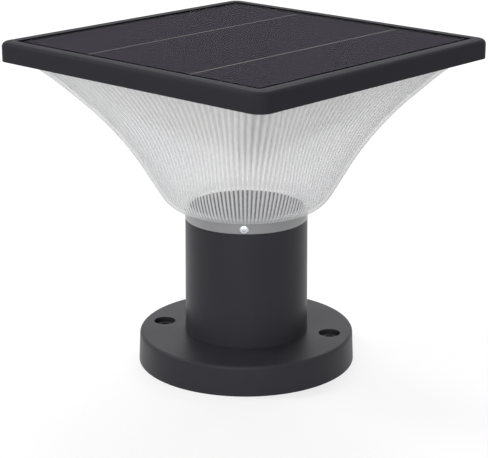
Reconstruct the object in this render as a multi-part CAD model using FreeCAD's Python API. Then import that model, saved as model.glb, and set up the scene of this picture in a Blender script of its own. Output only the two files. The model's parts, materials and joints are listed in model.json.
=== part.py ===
"""Deck post cap light: a square solar head with a ribbed lens on a round post.

Millimetres. +Z is up. The origin is the centre of the foot's underside.
The sides of the head lie along X and Y. Each piece is exported as its own STEP file.
"""
import FreeCAD, Part
import math
import os

V = FreeCAD.Vector
UP = V(0, 0, 1)

# ---- overall sizes -------------------------------------------------------------------
head_half = 125.0
head_corner_radius = 10.0
head_edge_radius = 3.75
skirt_bottom_z = 226.4
skirt_height = 14.0
skirt_wall = 3.0

foot_bottom_radius = 80.2
foot_top_radius = 79.3
foot_height = 22.4
foot_edge_radius = 2.5
foot_wall = 5.2
foot_plate = 4.5
post_bottom_radius = 45.4
post_top_radius = 44.9
post_top_z = 109.2
post_wall = 3.0

# ---- fits and gaps -------------------------------------------------------------------
running_clearance = 0.08
plug_clearance = 0.1
hole_clearance = 0.3
pilot_clearance = 0.05
button_clearance = 0.35

# ---- foot ----------------------------------------------------------------------------
bolt_circle_radius = 63.0
bolt_line_angle = 30.0
bolt_hole_radius = 3.5
bolt_recess_radius = 8.0
bolt_recess_depth = 3.2
bolt_boss_radius = 11.0
foot_centre_hole_radius = 22.0
rib_thickness = 2.5
rib_gap_below = 4.0
foot_rib_count = 8
post_gasket_thickness = 0.5

# ---- post and its cap ----------------------------------------------------------------
boss_radius = 5.5
boss_circle_radius = 37.0
foot_screw_angles = (0.0, 90.0, 180.0, 270.0)
foot_screw_head_radius = 3.8
foot_screw_head_height = 2.6
foot_screw_shank_radius = 1.7
foot_screw_length = 17.0
foot_boss_height = 20.0
cap_rise = 7.8
cap_radius = 42.0
cap_wall = 3.0
cap_plug_depth = 3.2
cap_column_radius = 4.5
cap_screw_angles = (100.0, 220.0, 340.0)
cap_screw_head_radius = 3.4
cap_screw_head_height = 1.8
cap_screw_shank_radius = 1.7
cap_screw_length = 25.0
cap_boss_height = 24.0
groove_bottom_rise = 1.5
groove_top_rise = 5.5
groove_depth = 1.8

# ---- lens ----------------------------------------------------------------------------
# The outer surface between the collar and the frame: the share of the height, the share
# of the widening, and the corner radius as a share of the half width (1 is round).
lens_sections = (
    (0.0, 0.0, 1.0),
    (0.0055, 0.0609, 0.996),
    (0.0247, 0.1362, 0.978),
    (0.0706, 0.1971, 0.928),
    (0.1347, 0.2391, 0.8585),
    (0.2264, 0.2826, 0.747),
    (0.3547, 0.3420, 0.5875),
    (0.5014, 0.4304, 0.420),
    (0.6664, 0.5710, 0.270),
    (0.8314, 0.7623, 0.172),
    (0.9230, 0.8826, 0.134),
    (1.0, 1.0, 0.1096),
)
lens_edge_inset = 11.0
collar_height = 8.1
lens_rows = 16
lens_row_spacing = 1.6
lens_wall = 2.4
rib_count = 160
rib_depth_at_neck = 0.42
rib_depth_at_frame = 0.62
collar_radius = 45.0
lens_flange_rise = 1.8
lens_flange_thickness = 2.0
lens_flange_gap = 0.4
collar_screw_rise = 3.5
collar_screw_angles = (-50.0, 70.0, 190.0)
collar_screw_radius = 1.5
collar_screw_head_radius = 3.4
collar_screw_head_height = 2.2
collar_screw_end_radius = 41.1
collar_recess_depth = 0.9

# ---- frame ---------------------------------------------------------------------------
web_thickness = 2.5
rim_width = 9.8
panel_opening_corner = 2.5
trim_line_inset = 4.8
trim_line_width = 0.5
trim_line_depth = 0.5
seal_wall_inset = 10.0
seal_wall_thickness = 2.0
seal_wall_corner = 13.0
lens_gasket_thickness = 0.8
lens_boss_inset = 6.6
lens_boss_radius = 3.7
lens_screw_head_radius = 2.8
lens_screw_head_height = 1.6
lens_screw_shank_radius = 1.2
lens_screw_length = 6.6
cable_hole_half_x = 14.0
cable_hole_half_y = 9.0

# ---- solar panel ---------------------------------------------------------------------
panel_gap = 0.9
panel_corner = 1.6
panel_top_gap = 0.3
glass_thickness = 1.1
cell_thickness = 0.25
panel_board_thickness = 1.6
cell_margin = 1.5
middle_cell_share = 0.4255
cell_line_width = 1.0
adhesive_width = 8.0
adhesive_thickness = 0.25

# ---- reflector plate and light board -------------------------------------------------
reflector_inset = 15.0
reflector_corner = 12.0
reflector_rise = 3.6
reflector_thickness = 2.0
reflector_boss_inset = 10.0
reflector_boss_radius = 3.6
small_screw_head_radius = 2.6
small_screw_head_height = 1.5
small_screw_shank_radius = 1.0
light_board_half_x = 75.0
light_board_half_y = 55.0
light_board_thickness = 1.6
light_board_gap = 2.0
light_line_inset = 11.5
light_board_screw_inset = 5.0
light_chip_x = 3.5
light_chip_y = 2.8
light_chip_height = 0.7
lights_per_long_side = 7
lights_per_short_side = 5

# ---- battery box ---------------------------------------------------------------------
box_half_x = 50.0
box_half_y = 30.0
box_wall = 2.0
box_corner = 4.0
box_drop = 26.0
box_flange_width = 6.0
box_flange_thickness = 1.2
cover_thickness = 2.5
cover_gasket_thickness = 0.7
cover_boss_radius = 3.6
cover_boss_inset = 5.2
cover_boss_height = 12.0
cover_screw_grip = 8.0
cover_pilot_depth = 10.0
cell_radius = 9.1
cell_length = 65.0
cell_gap = 1.0
pad_thickness = 2.1
holder_wall = 2.0
holder_ceiling = 1.5
contact_thickness = 0.5
contact_half_width = 4.0
pad_inset = 8.5
pad_overlap = 5.0
ledge_gap = 3.0
ledge_half_width = 4.0
holder_end_gap = 1.5
holder_screw_grip = 6.5
holder_pilot_depth = 8.0
standoff_height = 2.0
standoff_radius = 2.2
standoff_inset_x = 5.0
standoff_inset_y = 4.0
panel_plug_x = -22.0
panel_plug_half_x = 3.6
panel_plug_half_y = 2.6
panel_plug_height = 3.0
capacitor_x = 9.0
capacitor_y = 6.0
capacitor_radius = 3.6
capacitor_height = 3.2
charger_chip_x = -8.0
charger_chip_y = 4.0
charger_chip_half_x = 5.0
charger_chip_half_y = 3.2
charger_chip_height = 1.6
control_board_half_x = 36.0
control_board_half_y = 17.0
control_board_thickness = 1.6

# ---- power button --------------------------------------------------------------------
button_inset = 9.2
button_boss_radius = 6.0
button_bore_radius = 4.6
button_bezel_rise = 0.6
button_bezel_thickness = 0.8
button_pad_radius = 3.4
button_collar_radius = 4.2
button_collar_thickness = 1.0
button_travel = 1.2
switch_rise = 3.9
switch_radius = 4.4
button_stem_radius = 1.2

# ---- wires ---------------------------------------------------------------------------
wire_radius = 0.5
wire_bend_radius = 1.5

# ---- heights and widths that follow from the values above ----------------------------
cap_top_z = post_top_z + cap_rise
groove_bottom_z = post_top_z + groove_bottom_rise
groove_top_z = post_top_z + groove_top_rise
collar_screw_z = post_top_z + collar_screw_rise
lens_bottom_z = post_top_z + collar_height
lens_top_half = head_half - lens_edge_inset
panel_opening_half = head_half - rim_width
trim_line_half = head_half - trim_line_inset
seal_wall_outer_half = head_half - seal_wall_inset
seal_wall_inner_half = seal_wall_outer_half - seal_wall_thickness
lens_boss_line = head_half - lens_boss_inset
lens_boss_offset = head_half / 2
panel_half = panel_opening_half - panel_gap
cell_field_half = panel_half - cell_margin
cell_line_x = cell_field_half * middle_cell_share
reflector_half = head_half - reflector_inset
reflector_boss_line = reflector_half - reflector_boss_inset
light_line_half_x = light_board_half_x - light_line_inset
light_line_half_y = light_board_half_y - light_line_inset
button_line = head_half - button_inset
head_top_z = skirt_bottom_z + skirt_height
lens_flange_bottom_z = skirt_bottom_z + lens_flange_rise
lens_flange_top_z = lens_flange_bottom_z + lens_flange_thickness
seal_wall_bottom_z = lens_flange_top_z + lens_gasket_thickness
skirt_inner_half = head_half - skirt_wall
skirt_inner_corner = head_corner_radius - skirt_wall
reflector_bottom_z = skirt_bottom_z + reflector_rise
reflector_top_z = reflector_bottom_z + reflector_thickness
light_board_bottom_z = reflector_bottom_z - light_board_thickness
post_bottom_z = foot_height + post_gasket_thickness
post_bore_radius = post_bottom_radius - post_wall - 0.4
collar_bore_radius = cap_radius + running_clearance
glass_top_z = head_top_z - panel_top_gap
glass_bottom_z = glass_top_z - glass_thickness
cell_bottom_z = glass_bottom_z - cell_thickness
panel_board_bottom_z = cell_bottom_z - panel_board_thickness
panel_seat_z = panel_board_bottom_z - adhesive_thickness
web_bottom_z = panel_seat_z - web_thickness
button_bezel_bottom_z = skirt_bottom_z + button_bezel_rise
switch_bottom_z = button_bezel_bottom_z + switch_rise
box_bottom_z = reflector_bottom_z - box_drop
cover_top_z = box_bottom_z - cover_gasket_thickness
cover_bottom_z = cover_top_z - cover_thickness
cell_centre_z = cover_top_z + pad_thickness + cell_radius
cell_centre_y = cell_radius + cell_gap / 2
holder_ceiling_z = cell_centre_z + cell_radius + 0.3
control_board_bottom_z = holder_ceiling_z + holder_ceiling + standoff_height
control_board_top_z = control_board_bottom_z + control_board_thickness
box_inner_x = box_half_x - box_wall
box_inner_y = box_half_y - box_wall
holder_inner_x = cell_length / 2 + contact_thickness
holder_outer_x = holder_inner_x + holder_wall
holder_tab_x = (holder_outer_x + box_inner_x) / 2
ledge_start_x = holder_outer_x + ledge_gap


# ---- helpers -------------------------------------------------------------------------
def cylinder(radius, low, high, x=0.0, y=0.0):
    return Part.makeCylinder(radius, high - low, V(x, y, low), UP)


def tube(outer, inner, low, high, x=0.0, y=0.0):
    return cylinder(outer, low, high, x, y).cut(cylinder(inner, low - 1, high + 1, x, y))


def block(half_x, half_y, low, high, x=0.0, y=0.0):
    corner = V(x - half_x, y - half_y, low)
    return Part.makeBox(2 * half_x, 2 * half_y, high - low, corner)


def rounded_block(half_x, half_y, radius, low, high):
    solid = block(half_x, half_y, low, high)
    upright = [e for e in solid.Edges if abs(e.Vertexes[0].Z - e.Vertexes[1].Z) > 1e-6]
    return solid.makeFillet(radius, upright)


def rounded_ring(outer, outer_radius, inner, inner_radius, low, high):
    hole = rounded_block(inner, inner, inner_radius, low - 1, high + 1)
    return rounded_block(outer, outer, outer_radius, low, high).cut(hole)


def on_circle(radius, angle):
    turn = math.radians(angle)
    return radius * math.cos(turn), radius * math.sin(turn)


def revolved(points):
    wire = Part.makePolygon([V(r, 0, z) for r, z in points + points[:1]])
    return Part.Face(wire).revolve(V(0, 0, 0), UP, 360)


def fused(shapes):
    return shapes[0].multiFuse(shapes[1:]).removeSplitter() if len(shapes) > 1 else shapes[0]


def pan_screw(head_radius, head_height, shank_radius, length, driver_half=0.7):
    """A screw along +Z: the underside of its head is at 0 and the shank runs upwards."""
    head = cylinder(head_radius, -head_height, 0)
    rim = [e for e in head.Edges if abs(e.CenterOfMass.z + head_height) < 1e-6]
    head = head.makeFillet(head_height * 0.55, [e for e in rim if e.Closed][:1])
    screw = head.fuse(cylinder(shank_radius, -head_height * 0.3, length))
    slot_depth = head_height * 0.5
    for half_x, half_y in ((driver_half * 2.2, driver_half * 0.6), (driver_half * 0.6, driver_half * 2.2)):
        screw = screw.cut(block(half_x, half_y, -head_height - 1, -head_height + slot_depth))
    return screw.removeSplitter()


def placed(shape, x, y, z, turn=0.0, axis=UP):
    copy = shape.copy()
    if turn:
        copy.rotate(V(0, 0, 0), axis, turn)
    copy.translate(V(x, y, z))
    return copy


def wire_solid(points, radius=wire_radius, bend=wire_bend_radius):
    """A round wire along straight runs joined by tangent arcs."""
    edges = []
    start = points[0]
    for before, corner, after in zip(points, points[1:], points[2:]):
        inward = (before - corner).normalize()
        outward = (after - corner).normalize()
        half_angle = inward.getAngle(outward) / 2
        reach = bend / math.tan(half_angle)
        first = corner + inward * reach
        last = corner + outward * reach
        middle_way = (inward + outward).normalize()
        middle = corner + middle_way * (bend / math.sin(half_angle) - bend)
        edges.append(Part.makeLine(start, first))
        edges.append(Part.Arc(first, middle, last).toShape())
        start = last
    edges.append(Part.makeLine(start, points[-1]))
    spine = Part.Wire(edges)
    circle = Part.Wire(Part.Circle(points[0], points[1] - points[0], radius).toShape())
    return spine.makePipeShell([circle], True, False)


# ---- lens surfaces -------------------------------------------------------------------
def section_point(half, corner, share):
    """A point and its outward direction at a share of the way round a rounded square."""
    flat = half - corner
    quarter = 2 * flat + math.pi * corner / 2
    side, along = divmod(share * 4 * quarter, quarter)
    if along < flat:
        x, y, turn = half, along, 0.0
    elif along < flat + math.pi * corner / 2:
        turn = (along - flat) / corner
        x = flat + corner * math.cos(turn)
        y = flat + corner * math.sin(turn)
    else:
        turn = math.pi / 2
        x = 2 * flat + math.pi * corner / 2 - along
        y = half
    spin = side * math.pi / 2
    place = V(x * math.cos(spin) - y * math.sin(spin), x * math.sin(spin) + y * math.cos(spin), 0)
    return place, V(math.cos(turn + spin), math.sin(turn + spin), 0)


def section_poles(height, half, corner, wave=0.0):
    """Spline poles round one section; each second pole is moved out and in by wave."""
    count = 2 * rib_count
    corner = min(corner, half - 1e-4)
    step = 2 * math.pi / count
    round_up = corner * (6 / (4 + 2 * math.cos(step)) - 1)
    poles = []
    for number in range(count):
        place, outward = section_point(half, corner, number / count)
        shift = round_up + (wave if number % 2 else -wave)
        poles.append(place + outward * shift + V(0, 0, height))
    return poles


def section_face(rows, degree):
    """A closed band of surface through the pole rows, from first to last."""
    count = len(rows[0])
    spans = len(rows) - degree
    inner = spans - 1
    surface = Part.BSplineSurface()
    surface.buildFromPolesMultsKnots(
        [[row[number] for row in rows] for number in range(count)],
        [1] * (count + 1),
        [degree + 1] + [1] * inner + [degree + 1],
        list(range(count + 1)),
        list(range(spans + 1)),
        True,
        False,
        3,
        degree,
    )
    return surface.toShape()


def lens_profile():
    """Sections from the collar to the frame, closer at the collar: height, half width, corner radius."""
    points = []
    for up, out, roundness in lens_sections:
        half = collar_radius + out * (lens_top_half - collar_radius)
        height = lens_bottom_z + up * (skirt_bottom_z - lens_bottom_z)
        points.append(V(half, half * roundness, height))
    curve = Part.BSplineCurve()
    curve.interpolate(points)
    span = curve.LastParameter - curve.FirstParameter
    rows = []
    for number in range(lens_rows):
        share = (number / (lens_rows - 1)) ** lens_row_spacing
        point = curve.value(curve.FirstParameter + span * share)
        rows.append((point.z, point.x, min(point.y, point.x)))
    return rows


def inner_profile(outer):
    """The outer profile moved inwards by the wall, ending level with the flange's top."""
    result = []
    for number, (height, half, corner) in enumerate(outer):
        low = outer[max(number - 1, 0)]
        high = outer[min(number + 1, len(outer) - 1)]
        rise = high[0] - low[0]
        run = high[1] - low[1]
        length = math.hypot(rise, run)
        inset = lens_wall * rise / length
        new_half = half - inset
        new_corner = max(min(corner - inset, new_half), 5.0)
        result.append((height + lens_wall * run / length, new_half, new_corner))
    result = [row for row in result if row[1] > collar_bore_radius + 1.0]
    result = [row for row in result if row[0] < lens_flange_top_z - 1.5]
    first_z = result[0][0] - 0.5
    last = result[-1]
    top_half = outer[-1][1] - lens_wall + 0.6
    result.insert(0, (first_z, collar_bore_radius, collar_bore_radius))
    result.append((lens_flange_top_z, top_half, last[2] - 0.3))
    return result


def annulus(outer_edge_face, outer_z, inner_edge_face, inner_z):
    """The flat face between two closed edges at one height."""
    wires = []
    for face, height in ((outer_edge_face, outer_z), (inner_edge_face, inner_z)):
        edges = [e for e in face.Edges if abs(e.BoundBox.ZMax - height) < 1e-4 and e.BoundBox.ZLength < 1e-4]
        wires.append(Part.Wire(edges[:1]))
    return Part.Face(wires[0]).cut(Part.Face(wires[1])).Faces[0]


def rib_wave(height):
    """Pole shift for the ribs at a height: none at the collar, growing towards the frame."""
    share = (height - lens_bottom_z) / (skirt_bottom_z - lens_bottom_z)
    depth = rib_depth_at_neck + (rib_depth_at_frame - rib_depth_at_neck) * share
    fade = min(1.0, (height - lens_bottom_z) / 3.0, (skirt_bottom_z - height) / 2.0)
    return 1.5 * depth * max(fade, 0.0)


def lens_solid():
    outer = lens_profile()
    inner = inner_profile(outer)
    low_z = post_top_z
    collar_top = outer[0]
    frame_end = outer[-1]
    flange_half = skirt_inner_half - lens_flange_gap
    flange_corner = skirt_inner_corner - lens_flange_gap
    bore_top = inner[0]

    def band(rows):
        return section_face([section_poles(*row) for row in rows], 1)

    collar = band([(low_z, collar_radius, collar_radius), collar_top])
    bowl_rows = [section_poles(z, half, corner, rib_wave(z)) for z, half, corner in outer]
    bowl = section_face(bowl_rows, 3)
    neck = band([frame_end, (lens_flange_bottom_z, frame_end[1], frame_end[2])])
    flange_under = band(
        [
            (lens_flange_bottom_z, frame_end[1], frame_end[2]),
            (lens_flange_bottom_z, flange_half, flange_corner),
        ]
    )
    flange_edge = band(
        [
            (lens_flange_bottom_z, flange_half, flange_corner),
            (lens_flange_top_z, flange_half, flange_corner),
        ]
    )
    bore = band([(low_z, bore_top[1], bore_top[2]), bore_top])
    inside = section_face([section_poles(*row) for row in inner], 3)
    top = annulus(flange_edge, lens_flange_top_z, inside, lens_flange_top_z)
    bottom = annulus(collar, low_z, bore, low_z)
    faces = [collar, bowl, neck, flange_under, flange_edge, top, inside, bore, bottom]
    skin = Part.makeCompound(faces)
    skin.sewShape(1e-4)
    solid = Part.Solid(skin.Shells[0])
    if solid.Volume < 0:
        solid.reverse()
    return solid


# ---- where the screws go -------------------------------------------------------------
def lens_screw_places():
    places = []
    for side in (-1, 1):
        for offset in (-lens_boss_offset, lens_boss_offset):
            places.append((side * lens_boss_line, offset))
            places.append((offset, side * lens_boss_line))
    return places


def reflector_screw_places():
    line = reflector_boss_line
    return [(x, y) for x in (-line, 0, line) for y in (-line, 0, line) if x or y]


def box_screw_places():
    inset = box_flange_width / 2
    return [(sx * (box_half_x + inset), sy * (box_half_y + inset)) for sx in (-1, 1) for sy in (-1, 1)]


def cover_screw_places():
    x = box_half_x - cover_boss_inset
    y = box_half_y - cover_boss_inset
    return [(sx * x, sy * y) for sx in (-1, 1) for sy in (-1, 1)]


def light_board_screw_places():
    x = light_board_half_x - light_board_screw_inset
    y = light_board_half_y - light_board_screw_inset
    return [(sx * x, sy * y) for sx in (-1, 1) for sy in (-1, 1)]


button_x, button_y = -button_line, button_line

# ---- foot, post and cap --------------------------------------------------------------
base_flange = revolved(
    [(0, 0), (foot_bottom_radius, 0), (foot_top_radius, foot_height), (0, foot_height)]
)
top_edges = [e for e in base_flange.Edges if e.BoundBox.ZMin > foot_height - 1e-3 and e.Closed]
base_flange = base_flange.makeFillet(foot_edge_radius, top_edges[:1])
hollow = cylinder(foot_bottom_radius - foot_wall, -1, foot_height - foot_plate)
for number in range(foot_rib_count):
    rib = Part.makeBox(
        foot_bottom_radius - foot_wall - foot_centre_hole_radius + 2,
        rib_thickness,
        foot_height,
        V(foot_centre_hole_radius, -rib_thickness / 2, rib_gap_below),
    )
    rib.rotate(V(0, 0, 0), UP, bolt_line_angle + 22.5 + number * 360 / foot_rib_count)
    hollow = hollow.cut(rib)
bolt_places = [on_circle(bolt_circle_radius, bolt_line_angle + turn) for turn in (0, 180)]
for x, y in bolt_places:
    hollow = hollow.cut(cylinder(bolt_boss_radius, -2, foot_height, x, y))
hollow = hollow.cut(tube(foot_centre_hole_radius + 3, foot_centre_hole_radius, -2, foot_height))
base_flange = base_flange.cut(hollow)
base_flange = base_flange.cut(cylinder(foot_centre_hole_radius, -1, foot_height + 1))
for x, y in bolt_places:
    base_flange = base_flange.cut(cylinder(bolt_hole_radius, -1, foot_height + 1, x, y))
    recess = cylinder(bolt_recess_radius, foot_height - bolt_recess_depth, foot_height + 1, x, y)
    base_flange = base_flange.cut(recess)
foot_screw_places = [on_circle(boss_circle_radius, a) for a in foot_screw_angles]
foot_screw_hole = foot_screw_shank_radius + hole_clearance
for x, y in foot_screw_places:
    base_flange = base_flange.cut(cylinder(foot_screw_hole, -1, foot_height + 1, x, y))
    spot = foot_screw_head_radius + 1
    base_flange = base_flange.cut(cylinder(spot, -1, foot_height - foot_plate, x, y))

gasket_inner_radius = boss_circle_radius - boss_radius
post_gasket = tube(post_bottom_radius + 0.3, gasket_inner_radius, foot_height, post_bottom_z)
for x, y in foot_screw_places:
    post_gasket = post_gasket.cut(cylinder(foot_screw_hole, foot_height - 1, post_bottom_z + 1, x, y))

post_tube = revolved(
    [
        (post_bore_radius, post_bottom_z),
        (post_bottom_radius, post_bottom_z),
        (post_top_radius, post_top_z),
        (post_bore_radius, post_top_z),
    ]
)
cap_boss_top_z = post_top_z - cap_plug_depth
cap_screw_places = [on_circle(boss_circle_radius, a) for a in cap_screw_angles]
post_pilot_radius = foot_screw_shank_radius + pilot_clearance
for places, low, high in (
    (foot_screw_places, post_bottom_z, post_bottom_z + foot_boss_height),
    (cap_screw_places, cap_boss_top_z - cap_boss_height, cap_boss_top_z),
):
    post_tube = fused([post_tube] + [cylinder(boss_radius, low, high, x, y) for x, y in places])
    for x, y in places:
        post_tube = post_tube.cut(cylinder(post_pilot_radius, low - 1, high + 1, x, y))

post_cap = cylinder(cap_radius, post_top_z, cap_top_z)
post_cap = post_cap.fuse(cylinder(post_bore_radius - plug_clearance, cap_boss_top_z, post_top_z))
post_cap = post_cap.cut(cylinder(cap_radius - cap_wall, cap_boss_top_z - 1, cap_top_z - cap_wall))
columns = [cylinder(cap_column_radius, cap_boss_top_z, cap_top_z - 1, x, y) for x, y in cap_screw_places]
post_cap = fused([post_cap] + columns)
post_cap = post_cap.cut(tube(cap_radius + 1, cap_radius - groove_depth, groove_bottom_z, groove_top_z))
top_rim = [e for e in post_cap.Edges if e.BoundBox.ZMin > cap_top_z - 1e-3 and e.Closed]
post_cap = post_cap.makeFillet(0.8, top_rim[:1])
cap_screw_hole = cap_screw_shank_radius + hole_clearance
for x, y in cap_screw_places:
    post_cap = post_cap.cut(cylinder(cap_screw_hole, cap_boss_top_z - 1, cap_top_z + 1, x, y))
    sink_low = cap_top_z - cap_screw_head_height - 0.2
    post_cap = post_cap.cut(cylinder(cap_screw_head_radius + 0.3, sink_low, cap_top_z + 1, x, y))

foot_screw = pan_screw(
    foot_screw_head_radius, foot_screw_head_height, foot_screw_shank_radius, foot_screw_length, 1.0
)
flange_screws = [placed(foot_screw, x, y, foot_height - foot_plate) for x, y in foot_screw_places]
cap_screw = pan_screw(
    cap_screw_head_radius, cap_screw_head_height, cap_screw_shank_radius, cap_screw_length, 0.9
)
cap_seat_z = cap_top_z - cap_screw_head_height - 0.2
post_cap_screws = [placed(cap_screw, x, y, cap_seat_z, 180, V(1, 0, 0)) for x, y in cap_screw_places]

# ---- lens and its screws -------------------------------------------------------------
lens = lens_solid()
lens_screw_hole = lens_screw_shank_radius + hole_clearance
for x, y in lens_screw_places():
    lens = lens.cut(cylinder(lens_screw_hole, lens_flange_bottom_z - 0.5, lens_flange_top_z + 1, x, y))
button_gap = button_boss_radius + hole_clearance
lens = lens.cut(
    cylinder(button_gap, lens_flange_bottom_z - 0.5, lens_flange_top_z + 1, button_x, button_y)
)
collar_screws = []
for angle in collar_screw_angles:
    outward = V(math.cos(math.radians(angle)), math.sin(math.radians(angle)), 0)
    foot_of_axis = outward * 30 + V(0, 0, collar_screw_z)
    hole = Part.makeCylinder(collar_screw_radius + hole_clearance, 30, foot_of_axis, outward)
    seat_start = outward * (collar_radius - collar_recess_depth) + V(0, 0, collar_screw_z)
    seat = Part.makeCylinder(collar_screw_head_radius + 0.3, 10, seat_start, outward)
    lens = lens.cut(hole.fuse(seat))
    seat_radius = collar_radius - collar_recess_depth
    screw = pan_screw(
        collar_screw_head_radius,
        collar_screw_head_height,
        collar_screw_radius,
        seat_radius - collar_screw_end_radius,
        0.9,
    )
    screw.rotate(V(0, 0, 0), V(0, 1, 0), -90)
    screw.translate(V(seat_radius, 0, collar_screw_z))
    screw.rotate(V(0, 0, 0), UP, angle)
    collar_screws.append(screw)

# ---- frame ---------------------------------------------------------------------------
top_frame = rounded_block(head_half, head_half, head_corner_radius, skirt_bottom_z, head_top_z)
edges = [e for e in top_frame.Edges if e.BoundBox.ZMin > head_top_z - 1e-3]
top_frame = top_frame.makeFillet(head_edge_radius, edges)
skirt_space = rounded_block(
    skirt_inner_half, skirt_inner_half, skirt_inner_corner, skirt_bottom_z - 1, web_bottom_z
)
top_frame = top_frame.cut(skirt_space)
panel_space = rounded_block(
    panel_opening_half, panel_opening_half, panel_opening_corner, panel_seat_z, head_top_z + 1
)
top_frame = top_frame.cut(panel_space)
trim_inner_half = trim_line_half - trim_line_width
trim_line = rounded_ring(
    trim_line_half, 5.2, trim_inner_half, 4.7, head_top_z - trim_line_depth, head_top_z + 1
)
top_frame = top_frame.cut(trim_line)
additions = [
    rounded_ring(
        seal_wall_outer_half,
        seal_wall_corner,
        seal_wall_inner_half,
        seal_wall_corner - 2,
        seal_wall_bottom_z,
        web_bottom_z,
    )
]
for x, y in lens_screw_places():
    additions.append(cylinder(lens_boss_radius, seal_wall_bottom_z, web_bottom_z, x, y))
for x, y in reflector_screw_places():
    additions.append(cylinder(reflector_boss_radius, reflector_top_z, web_bottom_z, x, y))
bezel_top_z = button_bezel_bottom_z + button_bezel_thickness
additions.append(cylinder(button_boss_radius, bezel_top_z, web_bottom_z, button_x, button_y))
top_frame = fused([top_frame] + additions)
outside = rounded_block(
    2 * head_half, 2 * head_half, head_corner_radius, skirt_bottom_z - 5, head_top_z + 5
).cut(
    rounded_block(head_half, head_half, head_corner_radius, skirt_bottom_z - 6, head_top_z + 6)
)
top_frame = top_frame.cut(outside)
for x, y in lens_screw_places():
    pilot = lens_screw_shank_radius + pilot_clearance
    top_frame = top_frame.cut(cylinder(pilot, seal_wall_bottom_z - 1, web_bottom_z + 1, x, y))
for x, y in reflector_screw_places():
    pilot = small_screw_shank_radius + pilot_clearance
    top_frame = top_frame.cut(cylinder(pilot, reflector_top_z - 1, web_bottom_z + 1, x, y))
top_frame = top_frame.cut(cylinder(button_bore_radius, bezel_top_z - 1, web_bottom_z, button_x, button_y))
top_frame = top_frame.cut(
    block(cable_hole_half_x, cable_hole_half_y, web_bottom_z - 1, panel_seat_z + 1)
)
wire_level = web_bottom_z - wire_radius - 0.1
wire_slot = Part.makeBox(13, 2.4, 1.4, V(0, -1.2, web_bottom_z - 1.4))
wire_slot.rotate(V(0, 0, 0), UP, -45)
wire_slot.translate(V(button_x, button_y, 0))
top_frame = top_frame.cut(wire_slot)

lens_gasket = rounded_ring(
    seal_wall_outer_half,
    seal_wall_corner,
    seal_wall_inner_half,
    seal_wall_corner - 2,
    lens_flange_top_z,
    seal_wall_bottom_z,
)
lens_screw = pan_screw(
    lens_screw_head_radius, lens_screw_head_height, lens_screw_shank_radius, lens_screw_length
)
lens_screws = [placed(lens_screw, x, y, lens_flange_bottom_z) for x, y in lens_screw_places()]

# ---- solar panel ---------------------------------------------------------------------
panel_glass = rounded_block(panel_half, panel_half, panel_corner, glass_bottom_z, glass_top_z)
panel_board = rounded_block(panel_half, panel_half, panel_corner, panel_board_bottom_z, cell_bottom_z)
cell_edges = (
    (-cell_field_half, -cell_line_x - cell_line_width / 2),
    (-cell_line_x + cell_line_width / 2, cell_line_x - cell_line_width / 2),
    (cell_line_x + cell_line_width / 2, cell_field_half),
)
solar_cells = [
    block((right - left) / 2, cell_field_half, cell_bottom_z, glass_bottom_z, (left + right) / 2)
    for left, right in cell_edges
]
panel_adhesive = rounded_ring(
    panel_half - 1, 4.0, panel_half - 1 - adhesive_width, 4.0, panel_seat_z, panel_board_bottom_z
)

# ---- reflector plate and light board -------------------------------------------------
reflector_plate = rounded_block(
    reflector_half, reflector_half, reflector_corner, reflector_bottom_z, reflector_top_z
)
box_opening = rounded_block(
    box_half_x + hole_clearance,
    box_half_y + hole_clearance,
    box_corner + hole_clearance,
    reflector_bottom_z - 1,
    reflector_top_z + 1,
)
reflector_plate = reflector_plate.cut(box_opening)
small_pilot = small_screw_shank_radius + pilot_clearance
small_hole = small_screw_shank_radius + hole_clearance
for x, y in reflector_screw_places():
    reflector_plate = reflector_plate.cut(
        cylinder(small_hole, reflector_bottom_z - 1, reflector_top_z + 1, x, y)
    )
for x, y in box_screw_places() + light_board_screw_places():
    reflector_plate = reflector_plate.cut(
        cylinder(small_pilot, reflector_bottom_z - 1, reflector_top_z + 1, x, y)
    )
small_screw_length = web_bottom_z - reflector_bottom_z
reflector_screw = pan_screw(
    small_screw_head_radius, small_screw_head_height, small_screw_shank_radius, small_screw_length
)
reflector_screws = [placed(reflector_screw, x, y, reflector_bottom_z) for x, y in reflector_screw_places()]

led_board = rounded_block(
    light_board_half_x, light_board_half_y, 4.0, light_board_bottom_z, reflector_bottom_z
)
led_board = led_board.cut(
    rounded_block(
        box_half_x + light_board_gap,
        box_half_y + light_board_gap,
        box_corner,
        light_board_bottom_z - 1,
        reflector_bottom_z + 1,
    )
)
for x, y in light_board_screw_places():
    led_board = led_board.cut(
        cylinder(small_hole, light_board_bottom_z - 1, reflector_bottom_z + 1, x, y)
    )
led_chips = []
chip_low_z = light_board_bottom_z - light_chip_height
for side in (-1, 1):
    for number in range(lights_per_long_side):
        x = light_line_half_x * (2 * number / (lights_per_long_side - 1) - 1) * 0.92
        chip = block(light_chip_x / 2, light_chip_y / 2, chip_low_z, light_board_bottom_z, x)
        chip.translate(V(0, side * light_line_half_y, 0))
        led_chips.append(chip)
    for number in range(lights_per_short_side):
        y = light_line_half_y * (2 * number / (lights_per_short_side - 1) - 1) * 0.7
        chip = block(light_chip_y / 2, light_chip_x / 2, chip_low_z, light_board_bottom_z, 0, y)
        chip.translate(V(side * light_line_half_x, 0, 0))
        led_chips.append(chip)
light_board_screw = pan_screw(
    small_screw_head_radius,
    small_screw_head_height,
    small_screw_shank_radius,
    light_board_thickness + reflector_thickness,
)
led_board_screws = [
    placed(light_board_screw, x, y, light_board_bottom_z) for x, y in light_board_screw_places()
]

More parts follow.
